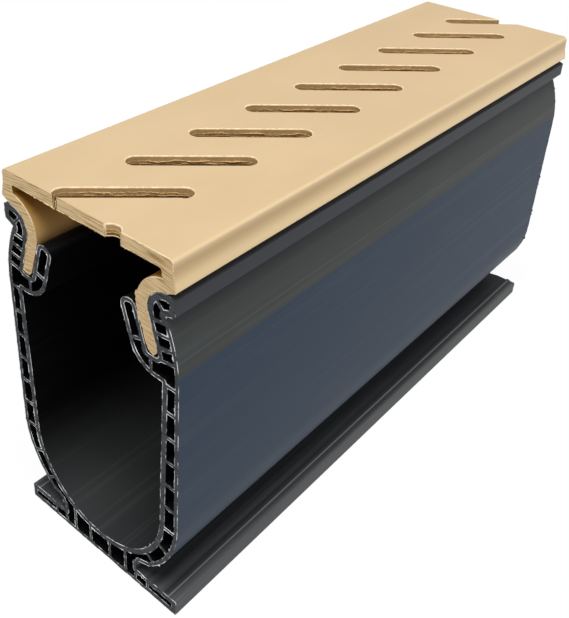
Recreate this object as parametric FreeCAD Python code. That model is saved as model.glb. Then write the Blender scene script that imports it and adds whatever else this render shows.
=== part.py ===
import FreeCAD, Part
import math
import os

# A length of plastic channel drain for the joint between a pool deck and a slab edge: a charcoal
# multi-cell extruded channel, and a tan extruded cover with routed slots that snaps into it.
# Both have one section all along their length, so each is drawn as a face in the X-Z plane and
# extruded along Y.  Units are millimetres.  X is across, Y along the run, Z up; the origin is the
# middle of the underside.  Sections are symmetric about X = 0: the right half is drawn and mirrored.

Vector = FreeCAD.Vector
ALONG = Vector(0, 1, 0)
ACROSS = Vector(1, 0, 0)

# ---- driving dimensions ----------------------------------------------------------------------
run_length = 182.0          # cut length of the piece
overall_height = 102.0      # underside of the foot to the top of the cover

# cover
cover_width = 53.0          # over the top edges
cover_plate = 3.1           # slotted deck plate
cover_side = 3.0            # side wall between plate and leg
cover_edge_radius = 1.1     # top outer edge
cover_side_hollow = 0.25    # how far the side face is drawn in
cover_inner_radius = 0.8    # corner under the plate
lip_overhang = 0.8          # how far the lip stands out past the top edge
lip_depth = 7.4             # top of the cover to the tip of the lip
lip_radius = 0.4
leg_thickness = 3.1         # hooked leg, round the bend
leg_tip_thickness = 2.8
leg_bend_radius = 5.65      # face of the leg that lies on the bead
leg_splay = 17.0            # degrees off upright, tips outwards
leg_reach = 8.2             # straight stretch from the bend to the tip

# routed slots
slot_width = 4.5
slot_centres = 25.4         # between the centres of the round ends
slot_angle = 44.5           # degrees from X
slot_pitch = 20.75
slot_start = 11.12          # front cut to the middle of the first whole slot
slot_shift = 0.8            # middle of the row of slots, right of the middle of the cover

# fit of the cover in the channel
bead_drop = 14.1            # top of the cover to the centre of the bead
bead_inset = 1.75           # top edge of the cover to the centre of the bead
fit_gap = 0.25              # between the leg and the bead
groove_slack = 0.4          # between the leg and the retaining fin
groove_floor_gap = 0.65     # below the tip of the leg

# channel: skins and webs
skin = 1.0                  # outer skins and the skins of the fin
thick_skin = 1.5            # round the bead and in the flange
bore_skin = 1.4             # skin round the waterway
web = 0.8                   # webs between the cells

# channel: bead and neck.  Heights up here are counted from the centre of the bead.
bead_depth = 2.3            # out to the flat outer face of the bead
bead_corner_radius = 0.8
bead_under = 1.1            # up to the lower outer corner of the bead
bead_web_angle = 135.0      # web across the bead, in degrees about its centre
shoulder_out = 3.25         # out to the widest place of the outer wall
shoulder_drop = 15.4        # down to it
neck_radius = 34.0          # outer wall leaning in above the shoulder
neck_web_lift = 0.2         # floor of the groove up to the lowest web across the neck
neck_web_pitch = 3.1
neck_web_rise = 0.9         # each web climbs outwards

# channel: retaining fin and groove
fin_drop = 0.2              # centre of the bead down to the corner at the top of the fin
fin_thickness = 4.6
fin_top_radius = 2.05
fin_bend_radius = 8.0       # where the fin turns out to the wall
fin_web_lift = 2.8          # floor of the groove up to the web in the fin
heel_web_inset = 1.1        # corner of the groove to the upright web under it
groove_radius = 1.1

# channel: walls and bowl
bore_drop = 17.0            # centre of the bead down to the underside of the fins
wall_top = 4.6              # thickness of the wall at the shoulder
wall_bottom = 5.5           # thickness of the wall where the bowl starts
bowl_radius = 22.1
bowl_floor = 7.5            # height of the lowest place of the waterway
shell_radius = 26.0         # outer face round the bowl
shell_rise = 0.4            # centre of the shell's curve above that of the bowl
wall_web_pitch = 7.15
bowl_web_start = 23.0       # degrees below level, about the centre of the bowl
bowl_web_step = 18.8
bowl_webs = 2

# channel: foot
foot_width = 54.4
foot_thickness = 4.6
foot_corner = 0.5
floor_web_start = 3.6       # middle of the foot to the first upright web
floor_web_pitch = 5.9
floor_webs = 2

# channel: keying groove above the flange, which the concrete locks into
key_x = 14.4                # it reaches in to here
key_floor = 4.25
key_floor_width = 3.0
key_floor_radius = 2.2
key_ridge = 5.6             # inner end of the groove to the low ridge along the flange
key_roof = 8.5
key_roof_radius = 0.6
key_brow_out = 4.2          # where the roof of the groove turns up to the shell
key_brow_up = 1.6
key_brow_radius = 2.0
key_mouth = 12.4            # height where it meets the shell
key_web_lean = 1.7          # sloping web that carries the inner end of the groove

# ---- values worked out from these --------------------------------------------------------------
front = -run_length / 2
half_cover = cover_width / 2
half_foot = foot_width / 2
bead_centre = Vector(half_cover - bead_inset, 0, overall_height - bead_drop)
bead_radius = leg_bend_radius - fit_gap
bead_face = bead_centre.x + bead_depth
splay = math.radians(leg_splay)
leg_turn = 180 + leg_splay
leg_down = Vector(math.sin(splay), 0, -math.cos(splay))     # along the leg towards its tip
leg_out = Vector(math.cos(splay), 0, math.sin(splay))       # square to the leg, outwards
shoulder_x = bead_centre.x + shoulder_out
shoulder_z = bead_centre.z - shoulder_drop
bore_top = bead_centre.z - bore_drop
bore_top_x = shoulder_x - wall_top
bowl_centre = Vector(0, 0, bowl_floor + bowl_radius)
shell_x = bowl_radius + wall_bottom
shell_centre = Vector(shell_x - shell_radius, 0, bowl_centre.z + shell_rise)


# ---- small tools for sections --------------------------------------------------------------------
def at(x, z):
    return Vector(x, 0, z)


def polar(centre, radius, degrees):
    """Point on a circle in the X-Z plane, counted from +X towards +Z."""
    angle = math.radians(degrees)
    return centre + at(radius * math.cos(angle), radius * math.sin(angle))


def arc(centre, radius, start, end):
    """Arc in the X-Z plane between two angles in degrees."""
    middle = (start + end) / 2
    points = [polar(centre, radius, degrees) for degrees in (start, middle, end)]
    return Part.Arc(*points).toShape()


def line(start, end):
    return Part.makeLine(start, end)


def flat(edges):
    """Face of the section inside joined edges, always facing the front."""
    face = Part.Face(Part.Wire(Part.__sortEdges__(edges)))
    if face.normalAt(0, 0).y > 0:
        face.reverse()
    return face


def disc(centre, radius):
    return flat([Part.makeCircle(radius, centre, ALONG)])


def rounded(corners):
    """Closed face from (x, z, radius) corners: straight sides joined by tangent arcs."""
    edges = []
    ends = []
    count = len(corners)
    for i, (x, z, radius) in enumerate(corners):
        here = at(x, z)
        back = (at(*corners[i - 1][:2]) - here).normalize()
        ahead = (at(*corners[(i + 1) % count][:2]) - here).normalize()
        half_turn = back.getAngle(ahead) / 2
        reach = radius / math.tan(half_turn)
        start = here + back * reach
        end = here + ahead * reach
        if radius:
            centre = here + (back + ahead).normalize() * (radius / math.sin(half_turn))
            middle = centre + (here - centre).normalize() * radius
            edges.append(Part.Arc(start, middle, end).toShape())
        ends.append((start, end))
    for i in range(count):
        start = ends[i - 1][1]
        end = ends[i][0]
        if start.distanceToPoint(end) > 1e-6:
            edges.append(line(start, end))
    return flat(edges)


def box_face(left, bottom, right, top):
    return rounded([(left, bottom, 0), (right, bottom, 0), (right, top, 0), (left, top, 0)])


def strip(start, end, thickness):
    """A web: a straight bar between two points of the section."""
    side = (end - start).normalize().cross(ALONG) * (thickness / 2)
    corners = [start + side, end + side, end - side, start - side, start + side]
    return flat(Part.makePolygon(corners).Edges)


def mirrored(shape):
    return shape.mirror(Vector(0, 0, 0), ACROSS)


def merged(faces):
    """Overlapping or touching faces of the section as one face."""
    pieces = faces[0].fuse(faces[1:])
    return Part.Shell(pieces.Faces).removeSplitter().Faces[0]


def both_halves(half):
    """The right half of a section joined to its mirror image."""
    other = mirrored(half)
    other.reverse()
    return merged([half, other])


def extruded(face):
    """The section carried along the whole run."""
    placed = face.copy()
    placed.translate(ALONG * front)
    return placed.extrude(ALONG * run_length)


# ---- cover -----------------------------------------------------------------------------------------
def leg_ends():
    """Ends of the straight stretch of the leg: top and tip of its under face, then its inner face."""
    under = polar(bead_centre, leg_bend_radius, leg_turn)
    inner = polar(bead_centre, leg_bend_radius + leg_thickness, leg_turn)
    taper = leg_out * (leg_thickness - leg_tip_thickness)
    return under, under + leg_down * leg_reach, inner, inner + leg_down * leg_reach + taper


def leg_tip():
    """Lowest point of the round tip, on the middle line of the leg."""
    _, tip_under, _, tip_inner = leg_ends()
    return (tip_under + tip_inner) * 0.5 + leg_down * (leg_tip_thickness / 2)


def leg_face():
    """Hooked leg: two arcs about the bead, then straight down between bead and fin to a round tip."""
    crown = 90
    outer_radius = leg_bend_radius + leg_thickness
    under, tip_under, inner, tip_inner = leg_ends()
    return flat([
        line(polar(bead_centre, leg_bend_radius, crown), polar(bead_centre, outer_radius, crown)),
        arc(bead_centre, outer_radius, crown, leg_turn),
        line(inner, tip_inner),
        Part.Arc(tip_inner, leg_tip(), tip_under).toShape(),
        line(tip_under, under),
        arc(bead_centre, leg_bend_radius, leg_turn, crown),
    ])


def side_face():
    """Side wall of the cover: slightly hollow outer face from the round top edge to the lip."""
    top = overall_height
    edge_centre = at(half_cover - cover_edge_radius, top - cover_edge_radius)
    edge_end = polar(edge_centre, cover_edge_radius, 0)
    lip_centre = at(half_cover + lip_overhang - lip_radius, top - lip_depth + lip_radius)
    lip_start = polar(lip_centre, lip_radius, 0)
    hollow = (edge_end + lip_start) * 0.5 - ACROSS * cover_side_hollow
    inside_x = half_cover - cover_side
    crown = polar(bead_centre, leg_bend_radius, 90)
    return flat([
        line(at(inside_x, top), at(edge_centre.x, top)),
        arc(edge_centre, cover_edge_radius, 90, 0),
        Part.Arc(edge_end, hollow, lip_start).toShape(),
        arc(lip_centre, lip_radius, 0, -90),
        line(at(lip_centre.x, top - lip_depth), crown),
        line(crown, at(inside_x, crown.z)),
        line(at(inside_x, crown.z), at(inside_x, top)),
    ])


def plate_face():
    """Deck plate, with a small round in the corner under it."""
    under = overall_height - cover_plate
    inside_x = half_cover - cover_side
    plate = box_face(0, under, inside_x, overall_height)
    corner_centre = at(inside_x - cover_inner_radius, under - cover_inner_radius)
    corner = box_face(corner_centre.x, corner_centre.z, inside_x, under)
    return merged([plate, corner.cut(disc(corner_centre, cover_inner_radius)).Faces[0]])


def slot_cutter(middle_y):
    """A router's path through the plate: straight between two round ends, square to the deck."""
    angle = math.radians(slot_angle)
    forward = Vector(math.cos(angle), math.sin(angle), 0)
    side = Vector(-math.sin(angle), math.cos(angle), 0) * (slot_width / 2)
    end = forward * (slot_width / 2)
    middle = Vector(slot_shift, middle_y, overall_height - 2 * cover_plate)
    near = middle - forward * (slot_centres / 2)
    far = middle + forward * (slot_centres / 2)
    outline = Part.Wire([
        line(near + side, far + side),
        Part.Arc(far + side, far + end, far - side).toShape(),
        line(far - side, near - side),
        Part.Arc(near - side, near - end, near + side).toShape(),
    ])
    return Part.Face(outline).extrude(Vector(0, 0, 3 * cover_plate))


def slotted_cover():
    half = merged([plate_face(), side_face(), leg_face()])
    body = extruded(both_halves(half))
    reach = (slot_centres + slot_width) / 2
    first = -math.floor((slot_start + reach) / slot_pitch)
    last = math.floor((run_length + reach - slot_start) / slot_pitch)
    middles = [front + slot_start + i * slot_pitch for i in range(first, last + 1)]
    return body.cut([slot_cutter(y) for y in middles])


# ---- channel ---------------------------------------------------------------------------------------
def u_face(half_width, radius, centre_z, top_z, top_half_width):
    """Right half of a U: flat bottom, quarter round, then a straight side to the top."""
    corner = at(half_width - radius, centre_z)
    bottom = polar(corner, radius, -90)
    points = [at(half_width, centre_z), at(top_half_width, top_z), at(0, top_z), at(0, bottom.z)]
    edges = [arc(corner, radius, -90, 0)]
    edges += [line(start, end) for start, end in zip(points, points[1:])]
    if half_width > radius:
        edges.append(line(points[-1], bottom))
    return flat(edges)


def beside_bead(z):
    """Point at height z on the face of the neck that the leg lies against."""
    start = polar(bead_centre, bead_radius, leg_turn)
    return start + leg_down * ((start.z - z) / math.cos(splay))


def beside_fin(z):
    """Point at height z on the groove side of the retaining fin."""
    start = polar(bead_centre, leg_bend_radius + leg_thickness + groove_slack, leg_turn)
    return start + leg_down * ((start.z - z) / math.cos(splay))


def groove_floor():
    return leg_tip().z - groove_floor_gap


def fin_face():
    """Retaining fin: leans in from the wall, turns up beside the leg and ends in a round top."""
    top = beside_fin(bead_centre.z - fin_drop)
    inner_top = top - leg_out * fin_thickness
    bend = beside_fin(bore_top) - ACROSS * (fin_thickness / math.cos(splay))
    heel = beside_fin(groove_floor())
    toe = beside_bead(groove_floor())
    toe_top = beside_bead(groove_floor() + 2 * groove_radius)
    wall = beside_bead(bore_top)
    return rounded([
        (top.x, top.z, fin_top_radius),
        (inner_top.x, inner_top.z, fin_top_radius),
        (bend.x, bend.z, fin_bend_radius),
        (wall.x, bore_top, 0),
        (wall.x, toe_top.z, 0),
        (toe_top.x, toe_top.z, 0),
        (toe.x, toe.z, groove_radius),
        (heel.x, heel.z, groove_radius),
    ])


def neck_face():
    """Hollow neck between the groove and the outer wall, which leans in on a large arc."""
    high = beside_bead(bead_centre.z - bead_radius * math.sin(splay))
    low = beside_bead(groove_floor())
    block = rounded([
        (high.x, high.z, 0),
        (low.x, low.z, 0),
        (low.x, bore_top, 0),
        (shoulder_x, shoulder_z, 0),
        (shoulder_x, bead_centre.z, 0),
        (bead_centre.x, bead_centre.z, 0),
    ])
    lean = disc(at(shoulder_x - neck_radius, shoulder_z), neck_radius)
    return block.common(lean)


def bead_face_section():
    """Bead that the cover hooks over: a round with a flat outer face and a sloping underside."""
    whole = disc(bead_centre, bead_radius)
    neck_x = shoulder_x - neck_radius + math.sqrt(neck_radius ** 2 - shoulder_drop ** 2)
    far = 2 * bead_radius
    crossing = bead_centre.z + math.sqrt(bead_radius ** 2 - bead_depth ** 2)
    trim = rounded([
        (bead_centre.x - far, bead_centre.z - far, 0),
        (neck_x, bead_centre.z - far, 0),
        (neck_x, bead_centre.z, 0.3),
        (bead_face, bead_centre.z + bead_under, 0.3),
        (bead_face, crossing + 0.2, bead_corner_radius),
        (bead_centre.x - far, crossing + far, 0),
    ])
    return whole.common(trim)


def foot_face():
    return rounded([
        (0, 0, 0),
        (half_foot, 0, foot_corner),
        (half_foot, foot_thickness, foot_corner),
        (key_x - skin, foot_thickness, 0),
        (key_x - skin, bowl_floor, 0),
        (0, bowl_floor, 0),
    ])


def keying_groove_face():
    """Space of the keying groove, out past the flange."""
    mouth_x = shell_centre.x + math.sqrt(shell_radius ** 2 - (shell_centre.z - key_mouth) ** 2)
    return rounded([
        (key_x, key_floor, key_floor_radius),
        (key_x, key_roof, key_roof_radius),
        (key_x + key_brow_out, key_roof + key_brow_up, key_brow_radius),
        (mouth_x, key_mouth, 0),
        (foot_width, key_mouth, 0),
        (foot_width, foot_thickness, 0),
        (key_x + key_ridge, foot_thickness, 0),
        (key_x + key_floor_width, key_floor, foot_corner),
    ])


def channel_outline():
    """Whole section of the channel, before its cells."""
    shell = u_face(shell_x, shell_radius, shell_centre.z, shoulder_z, shoulder_x)
    bore = u_face(bowl_radius, bowl_radius, bowl_centre.z, bore_top, bore_top_x)
    above = box_face(0, bore_top, beside_bead(bore_top).x, shoulder_z)
    half = merged([shell.cut(above), foot_face(), neck_face(), bead_face_section(), fin_face()])
    return both_halves(half.cut([bore, keying_groove_face()]).Faces[0])


def neck_web(i):
    """Ends of one of the webs across the neck, counted upwards."""
    start = beside_bead(groove_floor() + neck_web_lift + i * neck_web_pitch)
    return start, at(shoulder_x, start.z + neck_web_rise)


def neck_web_count():
    """As many webs as there is room for below the bead."""
    room = bead_centre.z - skin - groove_floor() - neck_web_lift
    return int(room / neck_web_pitch) + 1


def wall_webs():
    """Level webs down the side wall, as far as the bowl."""
    count = int((bore_top - bowl_centre.z) / wall_web_pitch) + 2
    heights = [bore_top - web / 2 - i * wall_web_pitch for i in range(count)]
    return [strip(at(bowl_radius, z), at(shoulder_x + skin, z), web) for z in heights]


def bowl_web_faces():
    """Webs round the curve of the bowl, square to it."""
    angles = [-bowl_web_start - i * bowl_web_step for i in range(bowl_webs)]
    return [strip(polar(bowl_centre, bowl_radius, angle), polar(bowl_centre, shell_x, angle), web)
            for angle in angles]


def foot_webs():
    """Upright webs under the bowl, the sloping one at the keying groove and one in the flange."""
    places = [floor_web_start + i * floor_web_pitch for i in range(floor_webs)]
    uprights = [strip(at(x, 0), at(x, bowl_floor + x), web) for x in places]
    key = strip(at(key_x - key_web_lean, 0), at(key_x, key_roof), web)
    flange_x = key_x + key_floor_width
    return uprights + [key, strip(at(flange_x, 0), at(flange_x, foot_thickness), web)]


def fin_webs():
    """Web across the fin, and the upright one under the groove."""
    high = beside_fin(groove_floor() + fin_web_lift)
    heel = beside_fin(groove_floor()) + ACROSS * heel_web_inset
    return [
        strip(high, high - leg_out * fin_thickness, web),
        strip(at(heel.x, bore_top), heel, web),
    ]


def webs():
    """All the webs of the right half."""
    across_bead = strip(polar(bead_centre, bead_radius, bead_web_angle), bead_centre, web)
    neck = [strip(*neck_web(i), web) for i in range(neck_web_count())]
    return neck + wall_webs() + bowl_web_faces() + foot_webs() + fin_webs() + [across_bead]


def cells(outline):
    """The hollows: the outline shrunk by its skins, less the webs."""
    floor_start, floor_end = neck_web(neck_web_count() - 1)
    bead_left = bead_centre.x - bead_radius
    bead_zone = rounded([
        (floor_start.x, floor_start.z, 0),
        (floor_end.x, floor_end.z, 0),
        (floor_end.x, overall_height, 0),
        (bead_left, overall_height, 0),
        (bead_left, floor_start.z, 0),
    ])
    flange_zone = box_face(key_x + key_floor_width, 0, foot_width, foot_thickness)
    liner = u_face(bowl_radius + bore_skin, bowl_radius + bore_skin, bowl_centre.z,
                   bore_top, bore_top_x + bore_skin)
    zones = [bead_zone, flange_zone, mirrored(bead_zone), mirrored(flange_zone)]
    thin = outline.makeOffset2D(-skin).cut(zones)
    thick = outline.makeOffset2D(-thick_skin).common(Part.makeCompound(zones))
    kept = [liner, mirrored(liner)]
    for bar in webs():
        kept += [bar, mirrored(bar)]
    return thin.cut(kept).Faces + thick.cut(kept).Faces


def channel_body():
    outline = channel_outline()
    return extruded(outline).cut([extruded(cell) for cell in cells(outline)])


os.makedirs("parts", exist_ok=True)
slotted_cover().exportStep("parts/slotted_cover.step")
channel_body().exportStep("parts/channel_body.step")
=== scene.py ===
import math

import bpy
import numpy as np
from mathutils import Matrix, Vector


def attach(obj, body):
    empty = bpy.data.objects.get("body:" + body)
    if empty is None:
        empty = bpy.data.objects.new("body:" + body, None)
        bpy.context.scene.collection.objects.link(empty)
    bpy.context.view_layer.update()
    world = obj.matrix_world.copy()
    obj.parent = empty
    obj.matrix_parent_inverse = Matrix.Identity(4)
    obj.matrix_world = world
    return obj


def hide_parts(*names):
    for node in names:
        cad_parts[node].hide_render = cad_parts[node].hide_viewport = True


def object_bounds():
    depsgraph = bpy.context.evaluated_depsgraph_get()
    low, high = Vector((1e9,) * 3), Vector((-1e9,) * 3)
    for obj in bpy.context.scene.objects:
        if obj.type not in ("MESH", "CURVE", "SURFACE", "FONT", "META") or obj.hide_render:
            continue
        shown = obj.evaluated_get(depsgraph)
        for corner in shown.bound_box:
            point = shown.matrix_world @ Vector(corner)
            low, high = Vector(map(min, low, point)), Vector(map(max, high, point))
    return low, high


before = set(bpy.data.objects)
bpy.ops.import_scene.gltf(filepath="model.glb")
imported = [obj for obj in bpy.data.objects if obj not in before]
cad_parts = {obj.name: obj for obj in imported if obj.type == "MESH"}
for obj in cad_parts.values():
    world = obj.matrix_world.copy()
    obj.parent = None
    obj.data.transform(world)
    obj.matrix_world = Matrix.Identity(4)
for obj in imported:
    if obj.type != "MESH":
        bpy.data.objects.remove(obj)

cad_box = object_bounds()

# A length of channel drain: a charcoal multi-cell channel and the tan slotted cover that snaps into
# it, both extruded vinyl, sawn to length at both ends, with slots routed through the cover.
# Places come from the two nodes of the frame; the lengths below are real sizes, in metres.

MM = 0.001
LOW = np.array(cad_box[0])
HIGH = np.array(cad_box[1])
HALF_RUN = HIGH[1]
DECK = HIGH[2]
FLAT = 1e-6                 # how near to a plane counts as in it
FACING = 0.9                # a direction with this much of an axis in it faces along that axis
SQUARE = 0.1                # and with no more than this, square to it

# the saw
SAW_LOSS = 0.12 * MM        # the ends lie this far inside the frame, to leave room for their burr
SAW_MIDDLE = (4 * MM, 0, DECK - 213 * MM)   # of the blade, whose marks are arcs about this place
SAW_MARK = 9 * MM           # length of a mark along its arc
BURR_STEP = 0.3 * MM        # length of one straight stretch of burr
BURR_ROOT = 0.02 * MM       # the burr is rooted this far below the cut
COVER_ROUNDING = 0.32 * MM      # how far blade and router round off the edges of the cover
CHANNEL_ROUNDING = 0.16 * MM    # and of the channel's thinner skins

# the cover
COVER_PLATE = 3.1 * MM      # thickness of the slotted plate
SLOT_REACH = 13.0 * MM      # the slots lie this near to the middle
WEDGE_REACH = 1.8 * MM      # round a wedge as thin as paper, edges stay sharp this far

# the channel, from the foot up
FOOT = 14.0 * MM            # below this height it spreads out into its two flanges
FLANGE_RIDGE = 24.6 * MM    # a fine ridge runs along each flange this far from the middle; its highlight is painted on as a pale line
BOWL_REACH = 16.0 * MM      # the round bottom of the waterway lies this near to the middle
BORE_MIDDLE = 40.0 * MM     # every wall of the waterway faces this height
HOOKS = 68.0 * MM           # the hooks that hold the cover are all above this height
HOOK_REACH = 20.5 * MM      # and this near to the middle
NECK = 74.0 * MM            # just above its shoulder the painted slate blue reflection on the outer wall gives way to neutral
NECK_RIDGE = 77.6 * MM      # a faint ridge runs along the neck at this height; its highlight is painted on as a pale line
BEAD = 86.0 * MM            # above this height is the bead that the cover hangs on


# ---- colours and nodes ---------------------------------------------------------------------------
def colour(code):
    """sRGB hex such as "E2C69C" as the linear values that a shader socket takes."""
    parts = [int(code[i:i + 2], 16) / 255 for i in (0, 2, 4)]
    linear = [c / 12.92 if c <= 0.04045 else ((c + 0.055) / 1.055) ** 2.4 for c in parts]
    return (*linear, 1.0)


def add(tree, kind, inputs=None, output=0, **settings):
    """Adds one node and returns one of its outputs. inputs are values, hex codes of colours or
    outputs to link, and settings are the node's own properties."""
    node = tree.nodes.new(kind)
    for name, value in settings.items():
        setattr(node, name, value)
    for name, value in (inputs or {}).items():
        if isinstance(value, bpy.types.NodeSocket):
            tree.links.new(value, node.inputs[name])
        else:
            node.inputs[name].default_value = colour(value) if isinstance(value, str) else value
    return node.outputs[output] if len(node.outputs) else None


def new_material(name):
    """An empty material and its node tree."""
    material = bpy.data.materials.new(name)
    material.use_nodes = True
    material.node_tree.nodes.clear()
    return material, material.node_tree


def coordinate(tree, axis):
    """Where a point of the piece lies along X, Y or Z, in metres."""
    place = add(tree, "ShaderNodeTexCoord", output="Object")
    return add(tree, "ShaderNodeSeparateXYZ", {"Vector": place}, axis)


def grain(tree, x, y, z, detail):
    """Noise from 0 to 1 over the piece, with grains of x by y by z metres."""
    place = add(tree, "ShaderNodeTexCoord", output="Object")
    counted = add(tree, "ShaderNodeMapping", {"Vector": place, "Scale": (1 / x, 1 / y, 1 / z)})
    return add(tree, "ShaderNodeTexNoise", {"Vector": counted, "Scale": 1.0, "Detail": detail})


def fade(tree, value, low, high, first, second, most=1.0):
    """Colour that is first where the value is at low, and goes smoothly to second where it is at
    high, or by no more than the share most. low may be the greater of the two. Each colour is a
    hex code or an output."""
    share = add(tree, "ShaderNodeMapRange",
                {"Value": value, "From Min": low, "From Max": high, "To Max": most},
                interpolation_type="SMOOTHSTEP")
    return add(tree, "ShaderNodeMix", {0: share, 6: first, 7: second}, 2, data_type="RGBA")


def soft_line(tree, tone, value, middle, half, most, code):
    """A line over a tone where the value is near middle, which is gone at the distance half."""
    apart = add(tree, "ShaderNodeMath", {0: value, 1: middle}, operation="SUBTRACT")
    apart = add(tree, "ShaderNodeMath", {0: apart}, operation="ABSOLUTE")
    return fade(tree, apart, half, 0.0, tone, code, most)


def drawn_lines(tree, tone, on_foot, above, pale):
    """Faint pale lines along the run over a tone, by one share on the foot and another above it.
    Returns the colour and the noise of the lines."""
    lines = grain(tree, 1.6 * MM, 160 * MM, 1.6 * MM, 3.0)
    low = fade(tree, lines, 0.5, 0.75, tone, pale, on_foot)
    high = fade(tree, lines, 0.5, 0.75, tone, pale, above)
    return fade(tree, coordinate(tree, "Z"), FOOT, FOOT + 6 * MM, low, high), lines


def saw_marks(tree, spacing):
    """Marks of a circular blade: noise that changes with the distance from the blade's middle,
    which lay below the section, and only slowly along the arcs."""
    across = coordinate(tree, "X")
    flat = add(tree, "ShaderNodeCombineXYZ", {"X": across, "Z": coordinate(tree, "Z")})
    reach = add(tree, "ShaderNodeVectorMath", {0: flat, 1: SAW_MIDDLE}, "Value",
                operation="DISTANCE")
    rings = add(tree, "ShaderNodeMath", {0: reach, 1: spacing}, operation="DIVIDE")
    along = add(tree, "ShaderNodeMath", {0: across, 1: SAW_MARK}, operation="DIVIDE")
    track = add(tree, "ShaderNodeCombineXYZ", {"X": rings, "Y": along})
    return add(tree, "ShaderNodeTexNoise", {"Vector": track, "Scale": 1.0, "Detail": 3.0})


def finish_vinyl(tree, base, roughness, specular, relief=None, depth=0.0):
    """Ends a vinyl material: a dielectric of IOR 1.53, with an optional relief of that depth in
    metres."""
    skin = {"Base Color": base, "Roughness": roughness, "IOR": 1.53,
            "Specular IOR Level": specular}
    if relief is not None:
        skin["Normal"] = add(tree, "ShaderNodeBump",
                             {"Height": relief, "Distance": depth, "Strength": 1.0})
    add(tree, "ShaderNodeOutputMaterial", {"Surface": add(tree, "ShaderNodeBsdfPrincipled", skin)})


# ---- cover finishes ------------------------------------------------------------------------------
def tan_extruded_vinyl():
    """Rigid tan vinyl drawn through a die: an even satin skin with very faint lines along the run.
    Along the rounded edges of the deck a highlight is painted, on the lip painted light, and on the
    hollow sides between them painted shade. The die's own lines are hundredths of a millimetre
    wide, and are drawn 0.5 mm wide to show at all."""
    material, tree = new_material("tan_extruded_vinyl")
    height = coordinate(tree, "Z")
    lines = grain(tree, 0.5 * MM, 60 * MM, 0.5 * MM, 2.0)
    clouds = grain(tree, 14 * MM, 30 * MM, 14 * MM, 3.0)
    deck = fade(tree, clouds, 0.3, 0.7, "CBB088", "CFB48C")
    # painted light and shade on the hollow side: the lip is painted bright, the band just under the
    # rounded edge painted dark
    side = fade(tree, height, DECK - 7 * MM, DECK - 2.2 * MM, "EBCF9F", "C6A676")
    # a painted highlight along the rounded top edge of the deck
    edge = fade(tree, height, DECK - 2.4 * MM, DECK - 0.6 * MM, side, "DABF94")
    tone = fade(tree, height, DECK - 0.35 * MM, DECK - 0.02 * MM, edge, deck)
    base = fade(tree, lines, 0.35, 0.75, tone, "BFA277", 0.08)
    finish_vinyl(tree, base, 0.42, 0.4, lines, 0.004 * MM)
    return material


def tan_inner_vinyl():
    """The same vinyl on the underside of the cover and inside its legs: duller than the deck and
    browner, with painted shade that darkens it up under the plate and most of all in the corners."""
    material, tree = new_material("tan_inner_vinyl")
    clouds = grain(tree, 6 * MM, 18 * MM, 6 * MM, 3.0)
    # painted shade: darker brown up under the plate than lower down the legs
    tone = fade(tree, coordinate(tree, "Z"), DECK - 16 * MM, DECK - 5 * MM, "DCB272", "A0742E")
    base = fade(tree, clouds, 0.45, 0.65, tone, "D3AE74", 0.45)
    finish_vinyl(tree, base, 0.5, 0.15)
    return material


def tan_sawn_vinyl():
    """The same vinyl cut across by a saw: matt, with brown arcs left by the teeth and pale crumbs
    of burr. The teeth leave about ten arcs to a millimetre, which are drawn 0.25 mm apart to
    show."""
    material, tree = new_material("tan_sawn_vinyl")
    marks = saw_marks(tree, 0.25 * MM)
    crumbs = grain(tree, 0.35 * MM, 0.35 * MM, 0.35 * MM, 2.0)
    tone = fade(tree, marks, 0.36, 0.54, "AC834E", "F0D09C")
    base = fade(tree, crumbs, 0.45, 0.7, tone, "E6D0A8", 0.30)
    finish_vinyl(tree, base, 0.7, 0.3, marks, 0.10 * MM)
    return material


def tan_routed_vinyl():
    """Walls of the slots, left rough by the router, with faint upright chatter marks. They are
    painted darker brown towards the underside: painted shade deep in the slot."""
    material, tree = new_material("tan_routed_vinyl")
    chatter = grain(tree, 0.6 * MM, 0.6 * MM, 2 * MM, 3.0)
    # painted shade: darker brown low in the slot
    tone = fade(tree, coordinate(tree, "Z"), DECK - 2.4 * MM, DECK - 1.2 * MM, "85602E", "BF9C6A")
    base = fade(tree, chatter, 0.5, 0.75, tone, "CDAE80", 0.35)
    finish_vinyl(tree, base, 0.75, 0.12, chatter, 0.15 * MM)
    return material


def tan_worn_highlit_vinyl():
    """Edges of the cover broken by blade and router: paler than the skin, partly from the wear and
    partly as a painted highlight on the rounding.
    """
    material, tree = new_material("tan_worn_highlit_vinyl")
    flecks = grain(tree, 1.2 * MM, 1.2 * MM, 1.2 * MM, 2.0)
    finish_vinyl(tree, fade(tree, flecks, 0.35, 0.65, "DDBF90", "EFD9B2"), 0.45, 0.4)
    return material


def tan_torn_vinyl():
    """Burr and swarf of the cover: thin torn edges, whitened where the vinyl was stretched."""
    material, tree = new_material("tan_torn_vinyl")
    flecks = grain(tree, 0.7 * MM, 0.7 * MM, 0.7 * MM, 2.0)
    finish_vinyl(tree, fade(tree, flecks, 0.35, 0.65, "D9B67C", "FCE6BA"), 0.6, 0.12)
    return material


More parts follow.
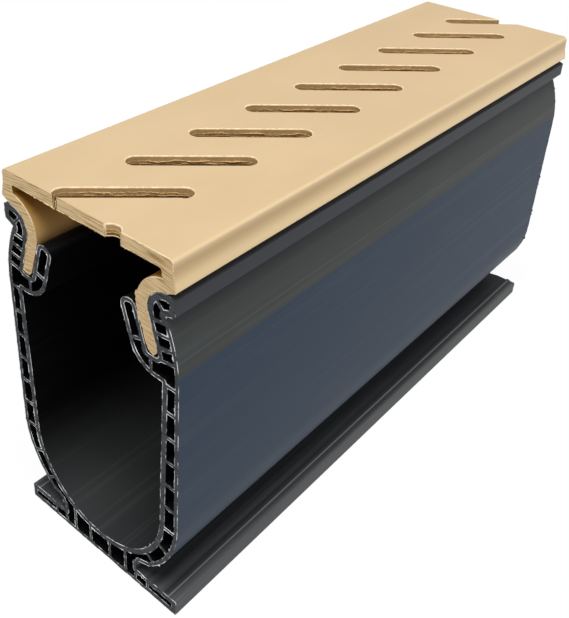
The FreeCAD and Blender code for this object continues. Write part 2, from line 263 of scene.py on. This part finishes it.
# ---- channel finishes ----------------------------------------------------------------------------
def charcoal_extruded_vinyl():
    """Charcoal vinyl drawn through a die: satin, neutral on neck, bead and foot, with faint lines
    and blotches along the run. The slate blue on the broad outer walls is a painted reflection, the
    paler band on the bulge above the foot a painted reflection of the floor, and on the flanges the
    dark strip by the wall is painted shade and the pale ridge and outer edge are painted
    highlights, as is the pale line along the neck. Its lines, like those of the cover, are drawn
    wider than a die leaves them."""
    material, tree = new_material("charcoal_extruded_vinyl")
    height = coordinate(tree, "Z")
    away = add(tree, "ShaderNodeMath", {0: coordinate(tree, "X")}, operation="ABSOLUTE")
    clouds = grain(tree, 9 * MM, 25 * MM, 9 * MM, 3.0)
    # painted reflection: slate blue on the outer wall below the neck, neutral above
    tone = fade(tree, height, NECK - 0.3 * MM, NECK + 0.5 * MM, "26374A", "3B3E3D")
    tone = fade(tree, height, BEAD - 1 * MM, BEAD + 1 * MM, tone, "35373C")
    # painted reflection of the floor: paler low on the bulge, fading out by 20 mm
    tone = fade(tree, height, 9 * MM, 20 * MM, "5C5E62", tone)
    tone = fade(tree, height, 5 * MM, 9 * MM, "38393C", tone)
    tone = fade(tree, clouds, 0.5, 0.75, tone, "50565C", 0.10)
    # a painted highlight along the ridge of the neck
    tone = soft_line(tree, tone, height, NECK_RIDGE, 0.3 * MM, 0.2, "70736F")
    # on the flanges: painted shade in the strip by the wall, a painted highlight on the ridge and
    # another towards the outer edge
    flange_shade_and_highlights = soft_line(tree, tone, away, FLANGE_RIDGE - 1.4 * MM, 1.2 * MM, 0.5, "1E1F21")
    flange_shade_and_highlights = soft_line(tree, flange_shade_and_highlights, away, FLANGE_RIDGE, 0.35 * MM, 0.6, "8C8E8E")
    flange_shade_and_highlights = soft_line(tree, flange_shade_and_highlights, away, FLANGE_RIDGE + 2.2 * MM, 1.2 * MM, 0.35, "747674")
    tone = fade(tree, height, FOOT - 5 * MM, FOOT - 4 * MM, flange_shade_and_highlights, tone)
    base, lines = drawn_lines(tree, tone, 0.35, 0.10, "6A6C6E")
    finish_vinyl(tree, base, 0.5, 0.15, lines, 0.01 * MM)
    return material


def charcoal_inner_vinyl():
    """The same vinyl inside the waterway, with painted shade: nearly black higher up, and painted
    light makes it greyer low down where light falls in.
    """
    material, tree = new_material("charcoal_inner_vinyl")
    # painted shade: near black above, painted light greyer low down where light falls in
    tone = fade(tree, coordinate(tree, "Z"), 8 * MM, 34 * MM, "333435", "040405")
    base, lines = drawn_lines(tree, tone, 0.14, 0.02, "6A6A68")
    finish_vinyl(tree, base, 0.5, 0.15, lines, 0.01 * MM)
    return material


def charcoal_hollow_vinyl():
    """Inside of the closed cells, which light hardly reaches: vinyl painted nearly black as painted
    shade, with nothing on it.
    """
    material, tree = new_material("charcoal_hollow_vinyl")
    # painted shade: the cells are nearly black
    finish_vinyl(tree, "060607", 0.6, 0.1)
    return material


def charcoal_sawn_vinyl():
    """The channel cut across by a saw: matt dark grey, scuffed along the blade's arcs, which are
    drawn 0.35 mm apart, coarser than the real ones, to show."""
    material, tree = new_material("charcoal_sawn_vinyl")
    marks = saw_marks(tree, 0.35 * MM)
    base = fade(tree, marks, 0.35, 0.75, "2B2D31", "5A5D61")
    finish_vinyl(tree, base, 0.75, 0.25, marks, 0.08 * MM)
    return material


def charcoal_torn_vinyl():
    """Burr of the channel: whitened grey where the saw tore the thin skins."""
    material, tree = new_material("charcoal_torn_vinyl")
    flecks = grain(tree, 2.0 * MM, 2.0 * MM, 2.0 * MM, 4.0)
    finish_vinyl(tree, fade(tree, flecks, 0.42, 0.62, "34363A", "F0F2F3"), 0.6, 0.3)
    return material


# ---- mesh tools ----------------------------------------------------------------------------------
def new_piece(name, points, faces, materials):
    """A mesh piece of the object, which rides with the channel and cover."""
    mesh = bpy.data.meshes.new(name)
    mesh.from_pydata(points.tolist(), [], faces.tolist())
    mesh.update()
    for material in materials:
        mesh.materials.append(material)
    piece = bpy.data.objects.new(name, mesh)
    bpy.context.scene.collection.objects.link(piece)
    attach(piece, "root")
    return piece


def triangles(node):
    """Corner points of a node, each only once, and its triangles as rows of three of them."""
    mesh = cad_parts[node].data
    places = np.empty(3 * len(mesh.vertices))
    mesh.vertices.foreach_get("co", places)
    mesh.calc_loop_triangles()
    corners = np.empty(3 * len(mesh.loop_triangles), int)
    mesh.loop_triangles.foreach_get("vertices", corners)
    points, same = np.unique(np.round(places.reshape(-1, 3), 7), axis=0, return_inverse=True)
    return points, same.reshape(-1)[corners].reshape(-1, 3)


def face_normals(points, faces):
    """Direction that each triangle faces: the cross product of two of its sides, at length 1."""
    sides = points[faces[:, 1:]] - points[faces[:, :1]]
    normals = np.cross(sides[:, 0], sides[:, 1])
    return normals / np.maximum(np.linalg.norm(normals, axis=1, keepdims=True), 1e-12)


def rim(points, faces, axis, level, step):
    """Outline of the faces that lie in one plane, as short steps.

    A side that only one of those triangles has is on the outline. Its outward direction lies in the
    plane, square to it; at a corner it is the mean of both sides. Returns the two ends of each step
    and the outward directions there, as arrays of n by 2 by 3, and the direction that the plane
    faces."""
    flat = faces[(np.abs(points[faces][:, :, axis] - level) < FLAT).all(axis=1)]
    sides = np.concatenate([flat[:, [0, 1]], flat[:, [1, 2]], flat[:, [2, 0]]])
    _, first, uses = np.unique(np.sort(sides, axis=1), axis=0,
                               return_index=True, return_counts=True)
    sides = sides[first[uses == 1]]
    run = points[sides[:, 1]] - points[sides[:, 0]]
    length = np.linalg.norm(run, axis=1)
    up = face_normals(points, flat)[0]
    square = np.cross(run / length[:, None], up)
    mean = np.zeros_like(points)
    np.add.at(mean, sides.ravel(), np.repeat(square, 2, axis=0))
    mean /= np.maximum(np.linalg.norm(mean, axis=1, keepdims=True), 1e-12)
    parts = np.ceil(length / step).astype(int)
    which = np.repeat(np.arange(len(sides)), parts)
    count = np.arange(len(which)) - np.repeat(np.cumsum(parts) - parts, parts)
    share = (np.stack([count, count + 1], axis=1) / parts[which][:, None])[:, :, None]
    ends = points[sides[which]]
    outward = mean[sides[which]]
    place = ends[:, :1] * (1 - share) + ends[:, 1:] * share
    turn = outward[:, :1] * (1 - share) + outward[:, 1:] * share
    return place, turn, up


def value_noise(places, length, seed):
    """Smooth random values from 0 to 1: a random value at each knot of a lattice whose knots are
    that length apart, blended between the eight knots about a place with an S-shaped weight."""
    size = 64
    knots = np.random.default_rng(seed).random((size, size, size))
    cell = places / length
    low = np.floor(cell).astype(int)
    weight = cell - low
    weight = weight * weight * (3 - 2 * weight)
    total = np.zeros(places.shape[:-1])
    for corner in np.ndindex(2, 2, 2):
        share = np.where(corner, weight, 1 - weight).prod(axis=-1)
        total += share * knots[tuple(np.moveaxis((low + corner) % size, -1, 0))]
    return total


def torn_edge(place, turn, up, width, height, lean):
    """A thin torn edge along an outline: a closed tube with four corners.

    At each place the corners are: one width inwards, the tip at the height and lean given, one
    width outwards, and a root below. The sizes are arrays over the places."""
    side = turn * width[..., None]
    tip = turn * lean[..., None] + up * height[..., None]
    root = -up * width[..., None]
    tube = np.stack([place - side, place + tip, place + side, place + root], axis=2)
    points, same = np.unique(np.round(tube.reshape(-1, 3), 8), axis=0, return_inverse=True)
    corner = same.reshape(tube.shape[:3])
    after = np.roll(corner, -1, axis=2)
    faces = np.stack([corner[:, 0], corner[:, 1], after[:, 1], after[:, 0]], axis=-1)
    faces = faces.reshape(-1, 4)
    whole = (np.diff(np.sort(faces, axis=1), axis=1) != 0).all(axis=1)
    return points, faces[whole]


def join(parts):
    """Several (points, faces) as one."""
    starts = np.cumsum([0] + [len(points) for points, _ in parts[:-1]])
    faces = [faces + start for start, (_, faces) in zip(starts, parts)]
    return np.concatenate([points for points, _ in parts]), np.concatenate(faces)


# ---- the two extrusions --------------------------------------------------------------------------
DRAWN, INNER, HOLLOW, SAWN, ROUTED = range(5)     # kinds of finish
ROUNDING = np.array([0, 0, 0, 0.6, 1.0])          # share of the rounding that the edges of each get


def round_edges(mesh, kinds, points, normals):
    """Rounds each edge between two finishes by the share of the later one, which is none where
    neither was cut. An edge is between two where the least and the greatest kind on it differ.
    Edges that end near a wedge as thin as paper stay sharp: on its edge the directions of the two
    faces nearly cancel out."""
    edges = np.empty(len(mesh.loops), int)
    mesh.loops.foreach_get("edge_index", edges)
    ends = np.empty(2 * len(mesh.edges), int)
    mesh.edges.foreach_get("vertices", ends)
    ends = ends.reshape(-1, 2)
    least = np.full(len(ends), ROUTED)
    most = np.zeros(len(ends), int)
    total = np.zeros((len(ends), 3))
    np.minimum.at(least, edges, np.repeat(kinds, 3))
    np.maximum.at(most, edges, np.repeat(kinds, 3))
    np.add.at(total, edges, np.repeat(normals, 3, axis=0))
    nearly_none = 0.5
    wedge = points[np.unique(ends[np.linalg.norm(total, axis=1) < nearly_none])]
    near = (np.linalg.norm(points[:, None] - wedge, axis=2) < WEDGE_REACH).any(axis=1)
    rounded = (least != most) & ~near[ends].any(axis=1)
    weights = mesh.attributes.new("bevel_weight_edge", "FLOAT", "EDGE")
    weights.data.foreach_set("value", (ROUNDING[most] * rounded).astype(np.float32))


def dressed(name, node, finishes, edge_wear_and_highlight, kinds_of, width):
    """The node's own shape with shared corners, its ends drawn in by the saw's loss, and the edges
    of its sawn ends and slots rounded. kinds_of gives each face's kind from the points and faces,
    finishes the material of each kind, in order, and edge_wear_and_highlight is that of the rounded
    edges: worn or torn vinyl, and on the cover also a painted highlight."""
    points, faces = triangles(node)
    kinds = kinds_of(points, faces)
    materials = [*finishes.values(), edge_wear_and_highlight]
    which = np.searchsorted(list(finishes), kinds).astype(np.int32)
    points[:, 1] = np.clip(points[:, 1], -HALF_RUN + SAW_LOSS, HALF_RUN - SAW_LOSS)
    piece = new_piece(name, points, faces, materials)
    piece.data.polygons.foreach_set("material_index", which)
    round_edges(piece.data, kinds, points, face_normals(points, faces))
    piece.data.shade_smooth()
    piece.data.set_sharp_from_angle(angle=math.radians(30))
    edge = piece.modifiers.new("rounded_edges_wear_and_highlight", "BEVEL")
    edge.width = width
    edge.segments = 2
    edge.limit_method = "WEIGHT"
    edge.use_clamp_overlap = False
    edge.loop_slide = False
    edge.harden_normals = True
    # the rounded edges take the worn finish, which on the cover also carries a painted highlight
    edge.material = len(materials) - 1
    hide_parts(node)


def sawn_faces(middle, normal):
    """Faces of the two ends: they face along the run and lie in an end's plane."""
    return (np.abs(normal[:, 1]) > FACING) & (np.abs(middle[:, 1]) > HALF_RUN - FLAT)


def cover_kinds(points, faces):
    """Inner skin is what faces down under the plate, and what faces the middle below it. Routed
    are the upright walls through the plate."""
    middle, normal = points[faces].mean(axis=1), face_normals(points, faces)
    below = middle[:, 2] < DECK - COVER_PLATE + FLAT
    inner = below & ((normal[:, 2] < -FACING) | (normal[:, 0] * middle[:, 0] < 0))
    routed = (np.abs(normal[:, 2]) < SQUARE) & ~below & (np.abs(middle[:, 0]) < SLOT_REACH)
    kinds = np.where(inner, INNER, np.where(routed, ROUTED, DRAWN))
    return np.where(sawn_faces(middle, normal), SAWN, kinds)


def shells(points, faces):
    """A number for each point, the same over each connected shell of faces: the least number
    spreads along the edges until nothing changes."""
    label = np.arange(len(points))
    while True:
        least = label.copy()
        np.minimum.at(least, faces.ravel(), np.repeat(label[faces].min(axis=1), 3))
        least = least[least]
        if (least == label).all():
            return label
        label = least


def channel_kinds(points, faces):
    """Cells are the shells that don't hold the lowest point. Inner skin is what faces the middle of
    the waterway, and all of the hooks above it."""
    middle, normal = points[faces].mean(axis=1), face_normals(points, faces)
    sawn = sawn_faces(middle, normal)
    shell = shells(points, faces[~sawn])
    cell = shell[faces[:, 0]] != shell[points[:, 2].argmin()]
    away, height = np.abs(middle[:, 0]), middle[:, 2]
    inward = normal[:, 2] * (BORE_MIDDLE - height) > normal[:, 0] * middle[:, 0]
    waterway = inward & ((height > FOOT) | (away < BOWL_REACH)) & (height < NECK)
    # the hooks take the inner finish too, for its painted shade
    waterway |= (height > HOOKS) & (away < HOOK_REACH)
    kinds = np.where(cell, HOLLOW, np.where(waterway, INNER, DRAWN))
    return np.where(sawn, SAWN, kinds)


def saw_burr(name, node, material, seed, highest):
    """Ragged edge left by the saw round the walls of the section, at both ends, where the outline
    faces up by no more than highest. Coarse noise gives stretches of heavier and lighter burr, fine
    noise the teeth in them, and here and there a flake stands out further."""
    points, faces = triangles(node)
    parts = []
    for end in (-1, 1):
        place, turn, up = rim(points, faces, 1, end * HALF_RUN, BURR_STEP)
        kept = turn[:, :, 2].mean(axis=1) <= highest
        place, turn = place[kept] - [0, end * (SAW_LOSS + BURR_ROOT), 0], turn[kept]
        coarse = value_noise(place, 2.2 * MM, seed)
        fine = value_noise(place, 0.5 * MM, seed + 1)
        flake = np.clip((value_noise(place, 0.9 * MM, seed + 2) - 0.8) * 8, 0, 1)
        ragged = np.clip(coarse * 1.6 - 0.5, 0, 1) * fine
        width = (0.05 + 0.10 * ragged) * MM
        height = (0.03 + 0.22 * ragged) * MM
        lean = ((fine - 0.3) * 0.3 * ragged + 0.35 * flake) * MM
        parts.append(torn_edge(place, turn, up, width, height, lean))
    points, faces = join(parts)
    new_piece(name, np.clip(points, LOW, HIGH), faces, [material])


def slot_swarf(material):
    """Ragged lines of torn swarf along the walls of each slot, which fade out towards its round
    ends: two ridges half way down and a fringe at the foot. Each follows the slot's rim at a level,
    this drop below it, stands out by up to this reach, and waves over this length."""
    points, faces = triangles("slotted_cover")
    step, underside = 0.25 * MM, DECK - COVER_PLATE
    parts = []
    for level, drop, reach, length, seed in ((DECK, 1.35 * MM, 0.5 * MM, 3.0 * MM, 21),
                                             (DECK, 1.95 * MM, 0.35 * MM, 1.8 * MM, 41),
                                             (underside, -0.3 * MM, 0.25 * MM, 1.2 * MM, 31)):
        place, turn, up = rim(points, faces, 2, level, step)
        inside = (np.abs(place[:, :, 0]) < SLOT_REACH).all(axis=1)
        inside &= (np.abs(place[:, :, 1]) < HALF_RUN - 2 * SAW_LOSS).all(axis=1)
        place, turn = place[inside], turn[inside]
        middle = (place[:, :, 0].min() + place[:, :, 0].max()) / 2
        share = np.abs(place[:, :, 0] - middle) / (place[:, :, 0].max() - middle)
        ends = np.clip((0.9 - share) / 0.25, 0, 1)
        wave = value_noise(place, length, seed) - 0.5
        fine = value_noise(place, 0.7 * MM, seed + 1)
        coarse = np.clip(value_noise(place, length, seed + 2) * 2 - 0.3, 0.15, 1)
        ragged = ends * coarse * (0.4 + 0.6 * fine)
        lift = (wave * 0.5 + (fine - 0.5) * 0.35) * ends * MM - drop
        place = place + np.stack([0 * wave, 0 * wave, lift], axis=-1)
        width = (0.05 + 0.16 * ragged) * MM
        parts.append(torn_edge(place, turn, up, width, 0.15 * ragged * MM, reach * ragged))
    points, faces = join(parts)
    room = np.array([0, SAW_LOSS, 0])
    points = np.clip(points, LOW + room, HIGH - room)
    new_piece("slot_swarf", points, faces, [material])


# ---- studio --------------------------------------------------------------------------------------
def floor():
    """Plain pale floor, far larger than the part. To the eye and in reflections it is mostly an
    even white, and to the lamps it is matt grey paper, so that it keeps a soft shadow."""
    reach = 4.0
    mesh = bpy.data.meshes.new("studio_floor")
    corners = [(-reach, -reach, 0), (reach, -reach, 0), (reach, reach, 0), (-reach, reach, 0)]
    mesh.from_pydata(corners, [], [(0, 1, 2, 3)])
    obj = bpy.data.objects.new("studio_floor", mesh)
    bpy.context.scene.collection.objects.link(obj)
    material, tree = new_material("white_paper")
    paper = add(tree, "ShaderNodeBsdfDiffuse", {"Color": (0.55, 0.55, 0.55, 1)})
    white = add(tree, "ShaderNodeEmission", {"Color": (1, 1, 1, 1), "Strength": 1.06})
    by_eye = add(tree, "ShaderNodeLightPath", output="Is Camera Ray")
    mirrored = add(tree, "ShaderNodeLightPath", output="Is Glossy Ray")
    seen = add(tree, "ShaderNodeMath", {0: by_eye, 1: mirrored}, operation="MAXIMUM")
    share = add(tree, "ShaderNodeMath", {0: seen, 1: 0.88}, operation="MULTIPLY")
    mixed = add(tree, "ShaderNodeMixShader", {0: share, 1: paper, 2: white})
    add(tree, "ShaderNodeOutputMaterial", {"Surface": mixed})
    mesh.materials.append(material)


def lamp(name, size, power, place, aim):
    """Square softbox of that size in metres and power in watts, at a place and turned to an aim."""
    data = bpy.data.lights.new(name, "AREA")
    data.shape = "SQUARE"
    data.size = size
    data.energy = power
    obj = bpy.data.objects.new(name, data)
    obj.location = place
    obj.rotation_mode = "QUATERNION"
    obj.rotation_quaternion = (Vector(aim) - Vector(place)).to_track_quat("-Z", "Y")
    bpy.context.scene.collection.objects.link(obj)


def lights():
    """A large softbox nearly overhead, a weak one from behind on the right, and a pale sky that
    looks brighter than it shines."""
    lamp("key_softbox", size=0.7, power=20.5, place=(0.22, -0.34, 1.47), aim=(0, 0, 0.05))
    lamp("edge_softbox", size=0.5, power=3.0, place=(0.80, 0.80, 0.55), aim=(0, 0, 0.08))
    world = bpy.data.worlds.new("studio")
    bpy.context.scene.world = world
    world.use_nodes = True
    tree = world.node_tree
    tree.nodes.clear()
    shining, looking = 0.36, 0.66
    by_eye = add(tree, "ShaderNodeLightPath", output="Is Camera Ray")
    strength = add(tree, "ShaderNodeMath", {0: by_eye, 1: looking, 2: shining},
                   operation="MULTIPLY_ADD")
    sky = add(tree, "ShaderNodeBackground", {"Color": (0.98, 0.99, 1.0, 1), "Strength": strength})
    add(tree, "ShaderNodeOutputWorld", {"Surface": sky})


def camera():
    """A slightly long lens above the near right corner, shifted sideways and down."""
    place = Vector((0.1225, -0.1870, 0.1931))
    forward = Vector((-0.5586, 0.6793, -0.4760)).normalized()
    right = Vector((0.7583, 0.6507, 0.0388))
    right = (right - forward * right.dot(forward)).normalized()
    up = right.cross(forward)
    data = bpy.data.cameras.new("studio_camera")
    data.sensor_width = 36.0
    data.lens = 50.95
    data.shift_x = 0.060
    data.shift_y = -0.210
    data.clip_start = 0.01
    obj = bpy.data.objects.new("studio_camera", data)
    turn = Matrix((right, up, -forward)).transposed().to_4x4()
    obj.matrix_world = Matrix.Translation(place) @ turn
    bpy.context.scene.collection.objects.link(obj)
    bpy.context.scene.camera = obj


bpy.context.scene.view_settings.view_transform = "Standard"
camera()
floor()
lights()
torn_tan = tan_torn_vinyl()
torn_charcoal = charcoal_torn_vinyl()
cover_finishes = {DRAWN: tan_extruded_vinyl(), INNER: tan_inner_vinyl(), SAWN: tan_sawn_vinyl(),
                  ROUTED: tan_routed_vinyl()}
channel_finishes = {DRAWN: charcoal_extruded_vinyl(), INNER: charcoal_inner_vinyl(),
                    HOLLOW: charcoal_hollow_vinyl(), SAWN: charcoal_sawn_vinyl()}
dressed("sawn_cover", "slotted_cover", cover_finishes, tan_worn_highlit_vinyl(), cover_kinds,
        COVER_ROUNDING)
dressed("sawn_channel", "channel_body", channel_finishes, torn_charcoal, channel_kinds,
        CHANNEL_ROUNDING)
saw_burr("cover_saw_burr", "slotted_cover", torn_tan, seed=3, highest=0.3)
saw_burr("channel_saw_burr", "channel_body", torn_charcoal, seed=7, highest=1.0)
slot_swarf(torn_tan)
